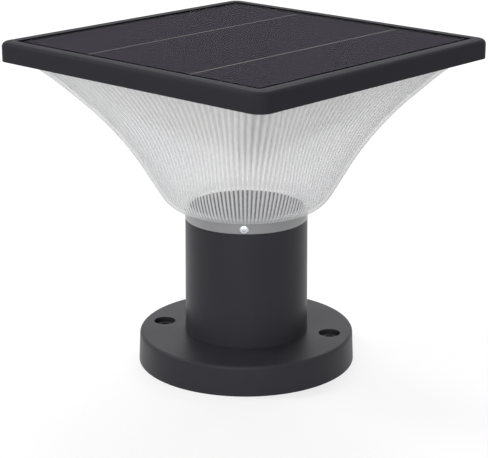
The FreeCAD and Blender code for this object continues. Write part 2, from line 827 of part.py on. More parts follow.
# ---- battery box ---------------------------------------------------------------------
box_flange_top_z = reflector_top_z + box_flange_thickness
battery_box = rounded_block(box_half_x, box_half_y, box_corner, box_bottom_z, box_flange_top_z)
box_flange = rounded_block(
    box_half_x + box_flange_width, box_half_y + box_flange_width, 6.0, reflector_top_z, box_flange_top_z
)
battery_box = battery_box.fuse(box_flange)
box_space = rounded_block(
    box_inner_x, box_inner_y, box_corner - box_wall, box_bottom_z - 1, box_flange_top_z + 1
)
battery_box = battery_box.cut(box_space)
corner_bosses = []
boss_top_z = box_bottom_z + cover_boss_height
for x, y in cover_screw_places():
    boss = cylinder(cover_boss_radius, box_bottom_z, boss_top_z, x, y)
    sign_x = math.copysign(1, x)
    sign_y = math.copysign(1, y)
    web_x = block(2.5, 1.2, box_bottom_z, boss_top_z, x + sign_x * 2.5, y)
    web_y = block(1.2, 2.5, box_bottom_z, boss_top_z, x, y + sign_y * 2.5)
    corner_bosses += [boss, web_x, web_y]
ledge_end_x = box_inner_x + 0.5
ledge_half_x = (ledge_end_x - ledge_start_x) / 2
ledge_x = (ledge_end_x + ledge_start_x) / 2
for side in (-1, 1):
    corner_bosses.append(
        block(ledge_half_x, ledge_half_width, box_bottom_z + 8, holder_ceiling_z, side * ledge_x)
    )
battery_box = fused([battery_box] + corner_bosses)
for x, y in cover_screw_places():
    pilot_top_z = box_bottom_z + cover_pilot_depth
    battery_box = battery_box.cut(cylinder(small_pilot, box_bottom_z - 1, pilot_top_z, x, y))
for x, y in box_screw_places():
    battery_box = battery_box.cut(
        cylinder(small_hole, reflector_top_z - 0.5, box_flange_top_z + 1, x, y)
    )
for side in (-1, 1):
    battery_box = battery_box.cut(
        cylinder(
            small_pilot,
            holder_ceiling_z - holder_pilot_depth,
            holder_ceiling_z + 1,
            side * holder_tab_x,
            0,
        )
    )
light_lead_z = control_board_bottom_z - 1.4
light_lead_places = (26.4, 28.4)
battery_box = battery_box.cut(
    Part.makeBox(5, 10, 2.0, V(light_lead_places[0] - 1.5, box_inner_y - 4, light_lead_z - 1.0))
)

battery_cover = rounded_block(box_half_x, box_half_y, box_corner, cover_bottom_z, cover_top_z)
battery_cover_gasket = rounded_block(
    box_half_x, box_half_y, box_corner, cover_top_z, box_bottom_z
).cut(rounded_block(box_inner_x, box_inner_y, box_corner - box_wall, cover_top_z - 1, box_bottom_z + 1))
for x, y in cover_screw_places():
    battery_cover = battery_cover.cut(cylinder(small_hole, cover_bottom_z - 1, cover_top_z + 1, x, y))
cover_screw = pan_screw(
    small_screw_head_radius,
    small_screw_head_height,
    small_screw_shank_radius,
    cover_thickness + cover_gasket_thickness + cover_screw_grip,
)
battery_cover_screws = [placed(cover_screw, x, y, cover_bottom_z) for x, y in cover_screw_places()]
box_screw = pan_screw(2.2, 1.0, small_screw_shank_radius, box_flange_thickness + reflector_thickness, 0.6)
battery_box_screws = [
    placed(box_screw, x, y, box_flange_top_z, 180, V(1, 0, 0)) for x, y in box_screw_places()
]

battery_pad = block(
    cell_length / 2 - pad_inset, cell_centre_y + pad_overlap, cover_top_z, cover_top_z + pad_thickness
)
battery_cells = []
for side in (-1, 1):
    start = V(-cell_length / 2, side * cell_centre_y, cell_centre_z)
    can = Part.makeCylinder(cell_radius, cell_length - 1.5, start, V(1, 0, 0))
    tip_start = start + V(cell_length - 1.5, 0, 0)
    tip = Part.makeCylinder(3.0, 1.5, tip_start, V(1, 0, 0))
    cell = can.fuse(tip)
    if side > 0:
        cell.rotate(V(0, side * cell_centre_y, cell_centre_z), UP, 180)
    battery_cells.append(cell)

contact_x = cell_length / 2 + contact_thickness / 2
contact_low_z = cell_centre_z - 5
contact_high_z = holder_ceiling_z - 0.5
battery_contacts = [
    block(
        contact_thickness / 2,
        contact_half_width,
        contact_low_z,
        contact_high_z,
        contact_x,
        side * cell_centre_y,
    )
    for side in (-1, 1)
]
long_contact_half = cell_centre_y + contact_half_width
battery_contacts.append(
    block(contact_thickness / 2, long_contact_half, contact_low_z, contact_high_z, -contact_x)
)

holder_half_y = cell_centre_y + cell_radius + 0.6
holder_pieces = [
    block(holder_outer_x, holder_half_y, holder_ceiling_z, holder_ceiling_z + holder_ceiling)
]
for side in (-1, 1):
    wall_x = side * (holder_inner_x + holder_outer_x) / 2
    low = cover_top_z + pad_thickness
    holder_pieces.append(block(holder_wall / 2, holder_half_y, low, holder_ceiling_z, wall_x))
    tab_end_x = box_inner_x - holder_end_gap
    tab_x = side * (holder_outer_x + tab_end_x) / 2
    tab_half = (tab_end_x - holder_outer_x) / 2 + 0.01
    tab_top_z = holder_ceiling_z + holder_ceiling
    holder_pieces.append(block(tab_half, ledge_half_width, holder_ceiling_z, tab_top_z, tab_x))
standoff_x = control_board_half_x - standoff_inset_x
standoff_y = control_board_half_y - standoff_inset_y
standoff_places = [(sx * standoff_x, sy * standoff_y) for sx in (-1, 1) for sy in (-1, 1)]
for x, y in standoff_places:
    low = holder_ceiling_z + holder_ceiling
    holder_pieces.append(cylinder(standoff_radius, low - 0.2, control_board_bottom_z, x, y))
battery_holder = fused(holder_pieces)
for side in (-1, 1):
    battery_holder = battery_holder.cut(
        cylinder(small_hole, holder_ceiling_z - 1, holder_ceiling_z + 3, side * holder_tab_x, 0)
    )
for x, y in standoff_places:
    battery_holder = battery_holder.cut(
        cylinder(small_pilot, holder_ceiling_z + 0.3, control_board_bottom_z + 1, x, y)
    )
holder_screw = pan_screw(2.2, 1.4, small_screw_shank_radius, holder_ceiling + holder_screw_grip, 0.6)
holder_screws = [
    placed(holder_screw, side * holder_tab_x, 0, holder_ceiling_z + holder_ceiling, 180, V(1, 0, 0))
    for side in (-1, 1)
]

control_board = block(
    control_board_half_x, control_board_half_y, control_board_bottom_z, control_board_top_z
)
board_screw_length = control_board_top_z - holder_ceiling_z - 0.6
board_screw = pan_screw(1.8, 1.2, small_screw_shank_radius, board_screw_length, 0.5)
for x, y in standoff_places:
    control_board = control_board.cut(
        cylinder(small_hole, control_board_bottom_z - 1, control_board_top_z + 1, x, y)
    )
control_board_screws = [
    placed(board_screw, x, y, control_board_top_z, 180, V(1, 0, 0)) for x, y in standoff_places
]
capacitor_top_z = control_board_top_z + capacitor_height
charger_chip_top_z = control_board_top_z + charger_chip_height
panel_plug_top_z = control_board_top_z + panel_plug_height
board_components = [
    block(
        charger_chip_half_x,
        charger_chip_half_y,
        control_board_top_z,
        charger_chip_top_z,
        charger_chip_x,
        charger_chip_y,
    ),
    block(
        charger_chip_half_x / 2,
        charger_chip_half_y / 2,
        control_board_top_z,
        charger_chip_top_z,
        -charger_chip_x,
        -2 * charger_chip_y,
    ),
    cylinder(capacitor_radius, control_board_top_z, capacitor_top_z, capacitor_x, capacitor_y),
    block(panel_plug_half_x, panel_plug_half_y, control_board_top_z, panel_plug_top_z, panel_plug_x),
]

# ---- power button --------------------------------------------------------------------
button_bezel = tube(
    button_boss_radius - 0.4,
    button_pad_radius + button_clearance,
    button_bezel_bottom_z,
    bezel_top_z,
    button_x,
    button_y,
)
power_switch = cylinder(switch_radius, switch_bottom_z, web_bottom_z, button_x, button_y)
stem_hole_top = switch_bottom_z + button_travel + 1.4
power_switch = power_switch.cut(
    cylinder(
        button_stem_radius + button_clearance, switch_bottom_z - 1, stem_hole_top, button_x, button_y
    )
)
collar_low_z = bezel_top_z + 0.1
collar_high_z = collar_low_z + button_collar_thickness
power_button = cylinder(button_pad_radius, skirt_bottom_z, collar_low_z, button_x, button_y)
pad_rim = [e for e in power_button.Edges if e.BoundBox.ZMax < skirt_bottom_z + 1e-3 and e.Closed]
power_button = power_button.makeFillet(0.5, pad_rim[:1])
power_button = fused(
    [
        power_button,
        cylinder(button_collar_radius, collar_low_z, collar_high_z, button_x, button_y),
        cylinder(button_stem_radius, collar_high_z, switch_bottom_z + 0.8, button_x, button_y),
    ]
)

# ---- wires ---------------------------------------------------------------------------
panel_lead_start_x = panel_plug_x + 16.0
panel_lead_end_x = panel_plug_x + 0.5
panel_lead = []
for side in (-1, 1):
    y = side * 1.2
    panel_lead.append(
        wire_solid(
            [
                V(panel_lead_start_x, y, panel_board_bottom_z),
                V(panel_lead_start_x, y, panel_plug_top_z + 1.4),
                V(panel_lead_end_x, y, panel_plug_top_z + 1.4),
                V(panel_lead_end_x, y, panel_plug_top_z),
            ],
            bend=0.7,
        )
    )
battery_lead = []
for side in (-1, 1):
    y = side * (cell_centre_y + 1)
    lead_x = holder_outer_x + wire_radius + 0.2
    battery_lead.append(
        wire_solid(
            [
                V(holder_outer_x, y, contact_low_z + 4),
                V(lead_x + 1.8, y, contact_low_z + 4),
                V(lead_x + 1.8, y, control_board_top_z + 1.6),
                V(control_board_half_x - 2.4, y, control_board_top_z + 1.6),
                V(control_board_half_x - 2.4, y, control_board_top_z),
            ],
            bend=0.7,
        )
    )
led_lead = []
for x in light_lead_places:
    led_lead.append(
        wire_solid(
            [
                V(x, control_board_half_y - 3, control_board_bottom_z),
                V(x, control_board_half_y - 3, light_lead_z),
                V(x, box_half_y + light_board_gap + 3, light_lead_z),
                V(x, box_half_y + light_board_gap + 3, light_board_bottom_z),
            ],
            bend=0.7,
        )
    )
switch_end = switch_radius / math.sqrt(2)
switch_lead = [
    wire_solid(
        [
            V(button_x + switch_end, button_y - switch_end, wire_level),
            V(button_x + 9, button_y - 9, wire_level),
            V(-30, button_y - 9, wire_level),
            V(-30, 9, wire_level),
            V(-30, 9, control_board_top_z),
        ]
    )
]

# ---- export --------------------------------------------------------------------------
pieces = {
    "base_flange": base_flange,
    "post_gasket": post_gasket,
    "post_tube": post_tube,
    "post_cap": post_cap,
    "post_cap_screws": post_cap_screws,
    "flange_screws": flange_screws,
    "lens": lens,
    "collar_screws": collar_screws,
    "top_frame": top_frame,
    "lens_gasket": lens_gasket,
    "lens_screws": lens_screws,
    "panel_glass": panel_glass,
    "solar_cells": solar_cells,
    "panel_board": panel_board,
    "panel_adhesive": panel_adhesive,
    "reflector_plate": reflector_plate,
    "reflector_screws": reflector_screws,
    "led_board": led_board,
    "led_chips": led_chips,
    "led_board_screws": led_board_screws,
    "battery_box": battery_box,
    "battery_box_screws": battery_box_screws,
    "battery_cover": battery_cover,
    "battery_cover_gasket": battery_cover_gasket,
    "battery_cover_screws": battery_cover_screws,
    "battery_pad": battery_pad,
    "battery_cells": battery_cells,
    "battery_contacts": battery_contacts,
    "battery_holder": battery_holder,
    "holder_screws": holder_screws,
    "control_board": control_board,
    "control_board_screws": control_board_screws,
    "board_components": board_components,
    "button_bezel": button_bezel,
    "power_switch": power_switch,
    "power_button": power_button,
    "panel_lead": panel_lead,
    "battery_lead": battery_lead,
    "led_lead": led_lead,
    "switch_lead": switch_lead,
}
os.makedirs("parts", exist_ok=True)
for name, piece in pieces.items():
    shape = Part.makeCompound(piece) if isinstance(piece, list) else piece
    shape.exportStep("parts/" + name + ".step")
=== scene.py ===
import json
import math

import bpy
from mathutils import Matrix, Vector


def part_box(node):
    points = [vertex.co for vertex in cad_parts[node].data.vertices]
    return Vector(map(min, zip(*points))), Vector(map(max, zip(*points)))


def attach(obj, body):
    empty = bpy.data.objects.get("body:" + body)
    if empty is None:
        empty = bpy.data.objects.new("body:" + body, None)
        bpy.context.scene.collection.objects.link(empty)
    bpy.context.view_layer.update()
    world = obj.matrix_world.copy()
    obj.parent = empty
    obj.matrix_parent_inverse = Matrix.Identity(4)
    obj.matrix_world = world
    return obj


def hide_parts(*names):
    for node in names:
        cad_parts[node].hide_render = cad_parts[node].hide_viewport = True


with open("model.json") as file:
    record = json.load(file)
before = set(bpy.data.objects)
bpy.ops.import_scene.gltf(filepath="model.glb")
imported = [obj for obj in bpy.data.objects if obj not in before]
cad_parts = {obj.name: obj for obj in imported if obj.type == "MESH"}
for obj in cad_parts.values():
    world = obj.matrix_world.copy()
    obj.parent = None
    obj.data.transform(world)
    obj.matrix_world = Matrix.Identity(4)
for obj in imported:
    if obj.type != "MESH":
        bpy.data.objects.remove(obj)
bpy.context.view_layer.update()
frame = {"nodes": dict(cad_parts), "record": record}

bl_info = {
    "name": "Deck Post Cap Light",
    "version": (1, 0, 0),
    "blender": (4, 5, 0),
    "location": "View3D > Sidebar > Post Light",
    "description": "Finishes the packed pieces of a square solar post light and lights them in a pale studio",
    "category": "Object",
}

NODES = frame["nodes"]
SLOT_OF_NODE = {p["node"]: p["material_slot"] for p in frame["record"]["subparts"]}
BODY_OF_NODE = {
    node: body for body, nodes in frame["record"]["behaviour"]["bodies"].items() for node in nodes
}
MM = 0.001


# ---- colours -------------------------------------------------------------------------
def linear(hex_colour):
    """Linear red, green and blue of an sRGB hex colour."""
    levels = [int(hex_colour[place:place + 2], 16) / 255 for place in (1, 3, 5)]
    return tuple(v / 12.92 if v <= 0.04045 else ((v + 0.055) / 1.055) ** 2.4 for v in levels)


def colour_property(name, description, hex_colour):
    return bpy.props.FloatVectorProperty(
        name=name,
        description=description,
        subtype="COLOR",
        size=3,
        min=0.0,
        max=1.0,
        default=linear(hex_colour),
    )


def length_property(name, description, metres):
    return bpy.props.FloatProperty(
        name=name,
        description=description,
        unit="LENGTH",
        subtype="DISTANCE",
        precision=5,
        min=0.0,
        default=metres,
    )


def power_property(name, description, watts):
    return bpy.props.FloatProperty(
        name=name, description=description, unit="POWER", min=0.0, default=watts
    )


def angle_property(name, description, degrees):
    return bpy.props.FloatProperty(
        name=name, description=description, subtype="ANGLE", default=math.radians(degrees)
    )


class PostLightFinish(bpy.types.PropertyGroup):
    """Colours and surface sizes of the light's materials"""

    housing: colour_property("Housing", "Black ABS of the frame, post and foot", "#2D2D32")
    lens: colour_property("Lens", "Clear polycarbonate of the ribbed lens", "#E8E8EA")
    cover: colour_property("Panel cover", "Matt clear film over the solar cells", "#4A484F")
    cell: colour_property("Cell", "Coated silicon of the solar strips", "#2A2730")
    white_plastic: colour_property("White ABS", "Reflector plate and battery box", "#E4E3DE")
    rubber: colour_property("Rubber", "Seals and the button pad", "#1A1A1B")
    board: colour_property("Board", "Solder mask of the control board and the panel's backing", "#1F3B2C")
    grain: length_property("Moulded grain", "Size of the eroded texture on the black plastic", 0.0008)


class PostLightDetails(bpy.types.PropertyGroup):
    """Sizes of the modelled details"""

    ribbon_width: length_property("Ribbon width", "Width of the tinned strips between the cells", 0.0008)
    ribbon_thickness: length_property("Ribbon thickness", "Thickness of the tinned strips", 0.00018)
    # The seal sizes below are for a dark ring of painted shade that stands for the shadowed gap between the
    # panel and the frame's rim.
    shade_line_half: length_property("Seal half side", "Middle of the panel to the seal's outer edge", 0.11515)
    shade_line_width: length_property("Seal width", "Width of the dark seal round the panel", 0.0026)
    film_lift: length_property("Film lift", "Gap that keeps the film's underside off the cells", 0.00025)
    finger_spacing: length_property("Finger spacing", "Distance between the fine lines on a cell", 0.002)
    recess_depth: length_property("Recess depth", "Depth of the cross recess in a collar screw", 0.0013)
    recess_width: length_property("Recess width", "Width of each arm of the cross recess", 0.0009)
    rib_count: bpy.props.IntProperty(name="Ribs", description="Ribs round the lens", min=8, default=144)
    rib_depth_low: length_property("Rib depth at the collar", "Crest to groove at the bottom", 0.00042)
    rib_depth_high: length_property("Rib depth at the frame", "Crest to groove at the top", 0.00062)


class PostLightStudio(bpy.types.PropertyGroup):
    """Floor, lamps and camera"""

    floor_half: length_property("Floor half size", "Half the side of the pale floor", 6.0)
    sky: bpy.props.FloatProperty(
        name="Sky", description="Strength of the even light from all round", min=0.0, default=0.46
    )
    key: power_property("Key lamp", "Power of the large lamp above and behind", 30.0)
    fill: power_property("Fill lamp", "Power of the small lamp high at the left", 12.0)
    front: power_property("Front lamp", "Power of the low lamp in front", 20.0)
    camera_place: bpy.props.FloatVectorProperty(
        name="Camera place",
        description="Where the camera stands",
        subtype="TRANSLATION",
        unit="LENGTH",
        size=3,
        default=(0.7696, -0.8516, 0.4583),
    )
    camera_heading: angle_property("Heading", "Turn of the camera about the upright", 40.2)
    camera_pitch: angle_property("Pitch", "How far the camera looks down", 16.37)
    camera_roll: angle_property("Roll", "Turn of the camera about its own axis", 0.57)
    focal_length: bpy.props.FloatProperty(
        name="Focal length", description="In millimetres on a sensor 36 mm wide", min=10.0, default=120.36
    )


# ---- materials -----------------------------------------------------------------------
def add_node(tree, kind, inputs=None, **settings):
    """A node with its settings; an input is given a value or the socket that feeds it."""
    node = tree.nodes.new(kind)
    for name, value in settings.items():
        setattr(node, name, value)
    for name, value in (inputs or {}).items():
        if isinstance(value, bpy.types.NodeSocket):
            tree.links.new(value, node.inputs[name])
        else:
            node.inputs[name].default_value = value
    return node


def new_material(name, **shader_values):
    """A material with one Principled shader: the tree, the shader and Object coordinates."""
    material = bpy.data.materials.new(name)
    material.use_nodes = True
    tree = material.node_tree
    tree.nodes.clear()
    shader = add_node(tree, "ShaderNodeBsdfPrincipled")
    for socket, value in shader_values.items():
        shader.inputs[socket.replace("_", " ")].default_value = value
    add_node(tree, "ShaderNodeOutputMaterial", {"Surface": shader.outputs[0]})
    place = add_node(tree, "ShaderNodeTexCoord").outputs["Object"]
    return material, tree, shader, place


def spread(tree, factor, low, high):
    """A number between low and high that follows factor."""
    return add_node(
        tree,
        "ShaderNodeMapRange",
        {"Value": factor, "From Min": 0.3, "From Max": 0.7, "To Min": low, "To Max": high},
    ).outputs["Result"]


def tinted(tree, factor, base, share):
    """The base colour, and the same a share lighter, mixed by factor."""
    return add_node(
        tree,
        "ShaderNodeMix",
        {0: factor, 6: (*base, 1.0), 7: (*[min(1.0, c * (1 + share)) for c in base], 1.0)},
        data_type="RGBA",
    ).outputs[2]


def noise(tree, place, size, detail=2.0):
    """Noise whose lumps are about size metres wide."""
    return add_node(
        tree, "ShaderNodeTexNoise", {"Vector": place, "Scale": 0.5 / size, "Detail": detail}
    ).outputs["Fac"]


def bumped(tree, shader, height, depth):
    """Lets height, from 0 to 1, raise the surface by up to depth metres."""
    bump = add_node(tree, "ShaderNodeBump", {"Height": height, "Distance": depth, "Strength": 1.0})
    tree.links.new(bump.outputs["Normal"], shader.inputs["Normal"])


def grained_plastic(name, base, rough_low, rough_high, grain, depth, lighter=0.35, **values):
    """Plastic, rubber or foam: the grain of its tool, its cast or its cut leaves it satin or
    matt, and a little uneven in sheen over a few centimetres."""
    material, tree, shader, place = new_material(name, **values)
    patches = noise(tree, place, 30 * MM, 3.0)
    fine = noise(tree, place, grain)
    tree.links.new(tinted(tree, patches, base, lighter), shader.inputs["Base Color"])
    tree.links.new(spread(tree, patches, rough_low, rough_high), shader.inputs["Roughness"])
    bumped(tree, shader, fine, depth)
    return material


def cover_front_only(tree, shader, cover):
    """Let a clear wall cover what is behind it with its near face, and not a second time
    with its far face."""
    behind = add_node(tree, "ShaderNodeNewGeometry").outputs["Backfacing"]
    front = add_node(tree, "ShaderNodeMath", {0: 1.0, 1: behind}, operation="SUBTRACT").outputs[0]
    seen = add_node(tree, "ShaderNodeMath", {0: front, 1: cover}, operation="MULTIPLY").outputs[0]
    tree.links.new(seen, shader.inputs["Alpha"])


def clear_polycarbonate(finish):
    """Clear moulded polycarbonate, ribbed outside: the ribs scatter light and look pale,
    and the grooves between them, and the smooth collar less so, let the eye through."""
    material, tree, shader, place = new_material(
        "clear_polycarbonate_moulded",
        IOR=1.585,
        Transmission_Weight=0.35,
    )
    shader.inputs["Base Color"].default_value = (*finish.lens, 1.0)
    rib = add_node(tree, "ShaderNodeAttribute", attribute_name="rib").outputs["Fac"]
    cover = add_node(
        tree,
        "ShaderNodeMapRange",
        {"Value": rib, "From Min": 0.1, "From Max": 0.85, "To Min": 0.03, "To Max": 0.88},
        interpolation_type="SMOOTHSTEP",
    ).outputs["Result"]
    # Seen slantwise, one rib stands before the next and the grooves close up.
    slant = add_node(tree, "ShaderNodeLayerWeight", {"Blend": 0.5}).outputs["Facing"]
    hidden = add_node(
        tree, "ShaderNodeMapRange", {"Value": slant, "From Min": 0.22, "From Max": 0.68, "To Max": 0.82}
    ).outputs["Result"]
    cover = add_node(
        tree, "ShaderNodeMix", {0: hidden, 2: cover, 3: 0.92}, data_type="FLOAT"
    ).outputs[0]
    cover_front_only(tree, shader, cover)
    flow = noise(tree, place, 12 * MM)
    tree.links.new(spread(tree, flow, 0.3, 0.38), shader.inputs["Roughness"])
    return material


def panel_film(finish):
    """Clear film laminated over the cells: a matt etch on top keeps it from mirroring, and a
    thin grey veil is all that it puts over them."""
    material, tree, shader, place = new_material("pet_film_matt_laminated", IOR=1.45)
    shader.inputs["Base Color"].default_value = (*finish.cover, 1.0)
    etch = noise(tree, place, 1.1 * MM)
    tree.links.new(spread(tree, etch, 0.26, 0.34), shader.inputs["Roughness"])
    bumped(tree, shader, etch, 0.00001)
    cover_front_only(tree, shader, 0.1)
    return material


def coated_silicon(finish, details):
    """Polycrystalline silicon with a dark coating: faint crystals a centimetre wide, and
    printed fingers across each strip. Real fingers are closer; these are drawn 2 mm apart,
    and only a little lighter than the cell. What gloss is seen comes from the film."""
    material, tree, shader, place = new_material("silicon_coated", IOR=1.5, Specular_IOR_Level=0.0)
    crystals = add_node(
        tree, "ShaderNodeTexVoronoi", {"Vector": place, "Scale": 1 / (11 * MM), "Randomness": 1.0}
    ).outputs["Distance"]
    body = tinted(tree, crystals, finish.cell, 0.15)
    across = add_node(tree, "ShaderNodeSeparateXYZ", {0: place}).outputs["Y"]
    turns = add_node(
        tree, "ShaderNodeMath", {0: across, 1: 1 / details.finger_spacing}, operation="MULTIPLY"
    ).outputs[0]
    share = add_node(tree, "ShaderNodeMath", {0: turns}, operation="FRACT").outputs[0]
    finger = add_node(tree, "ShaderNodeMath", {0: share, 1: 0.1}, operation="LESS_THAN").outputs[0]
    colour = add_node(
        tree, "ShaderNodeMix", {0: finger, 6: body, 7: (*linear("#35323B"), 1.0)}, data_type="RGBA"
    ).outputs[2]
    tree.links.new(colour, shader.inputs["Base Color"])
    tree.links.new(spread(tree, crystals, 0.3, 0.4), shader.inputs["Roughness"])
    return material


def plated_metal(name, base, rough, depth):
    """Plated, tinned or blackened metal: fine marks from drawing or tumbling spread its
    shine."""
    material, tree, shader, place = new_material(name, Metallic=1.0)
    marks = noise(tree, place, 0.4 * MM, 3.0)
    tree.links.new(tinted(tree, marks, base, 0.15), shader.inputs["Base Color"])
    tree.links.new(spread(tree, marks, rough, rough + 0.12), shader.inputs["Roughness"])
    bumped(tree, shader, marks, depth)
    return material


def solder_masked_board(name, base, trace):
    """Glass-fibre board under solder mask: the copper shows as faint runs, 1.6 mm apart."""
    material, tree, shader, place = new_material(name, IOR=1.5, Coat_Weight=0.3, Coat_Roughness=0.2)
    runs = add_node(
        tree,
        "ShaderNodeTexBrick",
        {
            "Vector": place,
            "Scale": 0.25 / (1.5625 * MM),
            "Mortar Size": 0.03,
            "Color1": (*base, 1.0),
            "Color2": (*[c * 0.9 for c in base], 1.0),
            "Mortar": (*trace, 1.0),
        },
    ).outputs["Color"]
    tree.links.new(runs, shader.inputs["Base Color"])
    weave = noise(tree, place, 0.6 * MM)
    tree.links.new(spread(tree, weave, 0.3, 0.42), shader.inputs["Roughness"])
    bumped(tree, shader, weave, 0.00002)
    return material


def make_materials(finish, details):
    """One material for each slot of the record."""
    black = {"IOR": 1.53, "Specular_IOR_Level": 0.14}
    return {
        # ABS from a spark-eroded tool: satin, with soft highlights on the round post.
        "abs_black": grained_plastic(
            "abs_black_eroded", tuple(finish.housing), 0.36, 0.46, finish.grain, 0.00003, **black
        ),
        # The frame is duller than the post, so its flat sides stay black in a pale room.
        "frame_black": grained_plastic(
            "abs_black_fine_eroded", tuple(finish.housing), 0.44, 0.54, finish.grain, 0.00003,
            IOR=1.53, Specular_IOR_Level=0.03,
        ),
        # Plain moulded ABS: even, pale and softly shiny, so it throws the light down.
        "abs_white": grained_plastic(
            "abs_white_moulded", tuple(finish.white_plastic), 0.42, 0.5, 0.001, 0.00002, 0.04, IOR=1.53
        ),
        # Moulded silicone rubber: dull and nearly black.
        "rubber": grained_plastic(
            "silicone_rubber_moulded", tuple(finish.rubber), 0.62, 0.75, 0.0012, 0.00004, 0.3, IOR=1.43
        ),
        # Cured silicone: dull and dark, without a highlight. On the ring round the panel it is painted shade,
        # a dark line for the shadowed gap at the panel's edge.
        "sealant": grained_plastic(
            "silicone_sealant_and_painted_shade", linear("#0D0D0F"), 0.8, 0.9, 0.002, 0.00003, 0.3,
            IOR=1.41, Specular_IOR_Level=0.0,
        ),
        # Cut foam: its cells leave the surface coarse and quite matt.
        "foam": grained_plastic(
            "polyurethane_foam_cut", linear("#3A3A3C"), 0.85, 0.95, 0.0009, 0.0003, 0.5, IOR=1.3
        ),
        # Zinc plating: pale and bright, with the cross recess dark against it.
        "steel": plated_metal("steel_zinc_plated", linear("#BFC2C6"), 0.24, 0.00002),
        # Black oxide: dark, with a dim shine.
        "steel_black": plated_metal("steel_black_oxide", linear("#2B2B2E"), 0.38, 0.00002),
        "polycarbonate": clear_polycarbonate(finish),
        "panel_resin": panel_film(finish),
        "silicon": coated_silicon(finish, details),
        "glass_fibre_board": solder_masked_board(
            "glass_fibre_board_green", tuple(finish.board), linear("#2E5A41")
        ),
        "glass_fibre_board_white": solder_masked_board(
            "glass_fibre_board_white", linear("#E8E8E4"), linear("#DAD9D2")
        ),
        # Silicone with phosphor in it: smooth and yellow.
        "chip_ceramic": grained_plastic(
            "phosphor_silicone_cast", linear("#E9D86A"), 0.3, 0.4, 0.0005, 0.00002, 0.2, IOR=1.41
        ),
        # Moulded epoxy: dark grey and matt.
        "chip_black": grained_plastic(
            "epoxy_black_moulded", linear("#202022"), 0.5, 0.6, 0.0004, 0.00002, 0.3, IOR=1.5
        ),
        # Shrunk PVC sleeve: smooth, blue and rather shiny.
        "cell_wrap": grained_plastic(
            "pvc_sleeve_shrunk", linear("#2F6FB0"), 0.25, 0.32, 0.004, 0.00003, 0.15, IOR=1.53
        ),
        # Tinned ribbon gone dull under the film: a thin pale line between dark cells.
        "tinned_copper": plated_metal("copper_ribbon_tinned", linear("#77746E"), 0.4, 0.00001),
        # Nickel plating: warmer and brighter than the zinc.
        "nickel_plate": plated_metal("spring_steel_nickel_plated", linear("#C9C6BC"), 0.2, 0.00001),
        # Extruded PVC: smooth along the wire and softly shiny.
        "wire_cover": grained_plastic(
            "pvc_insulation_extruded", linear("#7A1B1B"), 0.4, 0.5, 0.0015, 0.00002, 0.25, IOR=1.53
        ),
    }


# ---- shared modelling steps ------------------------------------------------------------
MATERIALS = {}


def select_only(*pieces):
    bpy.ops.object.select_all(action="DESELECT")
    for piece in pieces:
        piece.select_set(True)
    bpy.context.view_layer.objects.active = pieces[0]


def set_material(piece, material):
    piece.data.materials.clear()
    piece.data.materials.append(material)


def finish_nodes(*names):
    """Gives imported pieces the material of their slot."""
    for name in names:
        for slot in NODES[name].material_slots:
            slot.material = MATERIALS[SLOT_OF_NODE[name]]


def settle(piece, name, body, slot):
    """Names a finished piece, puts its place in its mesh and lets it ride on a body."""
    select_only(piece)
    bpy.ops.object.transform_apply(location=True, rotation=True, scale=True)
    piece.name = name
    piece.data.name = name
    set_material(piece, MATERIALS[slot])
    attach(piece, body)
    return piece


def smooth_copy(node, name, angle=32.0, level=True):
    """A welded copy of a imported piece, shaded round, that stands in for it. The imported
    mesh is loose triangles, so its curves would show as flats."""
    mesh = NODES[node].data.copy()
    piece = bpy.data.objects.new(name, mesh)
    bpy.context.collection.objects.link(piece)
    select_only(piece)
    bpy.ops.object.mode_set(mode="EDIT")
    bpy.ops.mesh.select_all(action="SELECT")
    bpy.ops.mesh.remove_doubles(threshold=0.000002)
    bpy.ops.object.mode_set(mode="OBJECT")
    bpy.ops.mesh.customdata_custom_splitnormals_clear()
    bpy.ops.object.shade_smooth_by_angle(angle=math.radians(angle))
    if level:
        bpy.ops.object.modifier_add(type="WEIGHTED_NORMAL")
        piece.modifiers[-1].keep_sharp = True
        bpy.ops.object.modifier_apply(modifier=piece.modifiers[-1].name)
    settle(piece, name, BODY_OF_NODE[node], SLOT_OF_NODE[node])
    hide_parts(node)
    return piece


def cut_away(piece, tool):
    """Cuts the tool's shape out of a piece and takes the tool away."""
    select_only(piece)
    bpy.ops.object.modifier_add(type="BOOLEAN")
    modifier = piece.modifiers[-1]
    modifier.operation = "DIFFERENCE"
    modifier.solver = "EXACT"
    modifier.object = tool
    bpy.ops.object.modifier_apply(modifier=modifier.name)
    bpy.data.objects.remove(tool)


# ---- operators ---------------------------------------------------------------------------
class POSTLIGHT_OT_materials(bpy.types.Operator):
    """Make the materials that all the pieces share"""

    bl_idname = "postlight.materials"
    bl_label = "Materials"

    def execute(self, context):
        MATERIALS.update(make_materials(context.scene.postlight_finish, context.scene.postlight_details))
        return {"FINISHED"}


class POSTLIGHT_OT_foot(bpy.types.Operator):
    """Finish the round foot, the ring above it and its screws"""

    bl_idname = "postlight.foot"
    bl_label = "Foot"

    def execute(self, context):
        smooth_copy("base_flange", "foot_moulding")
        finish_nodes("post_gasket", "flange_screws")
        return {"FINISHED"}


class POSTLIGHT_OT_post(bpy.types.Operator):
    """Finish the post and the cap on it"""

    bl_idname = "postlight.post"
    bl_label = "Post"

    def execute(self, context):
        smooth_copy("post_tube", "post_moulding")
        smooth_copy("post_cap", "post_cap_moulding")
        finish_nodes("post_cap_screws")
        return {"FINISHED"}


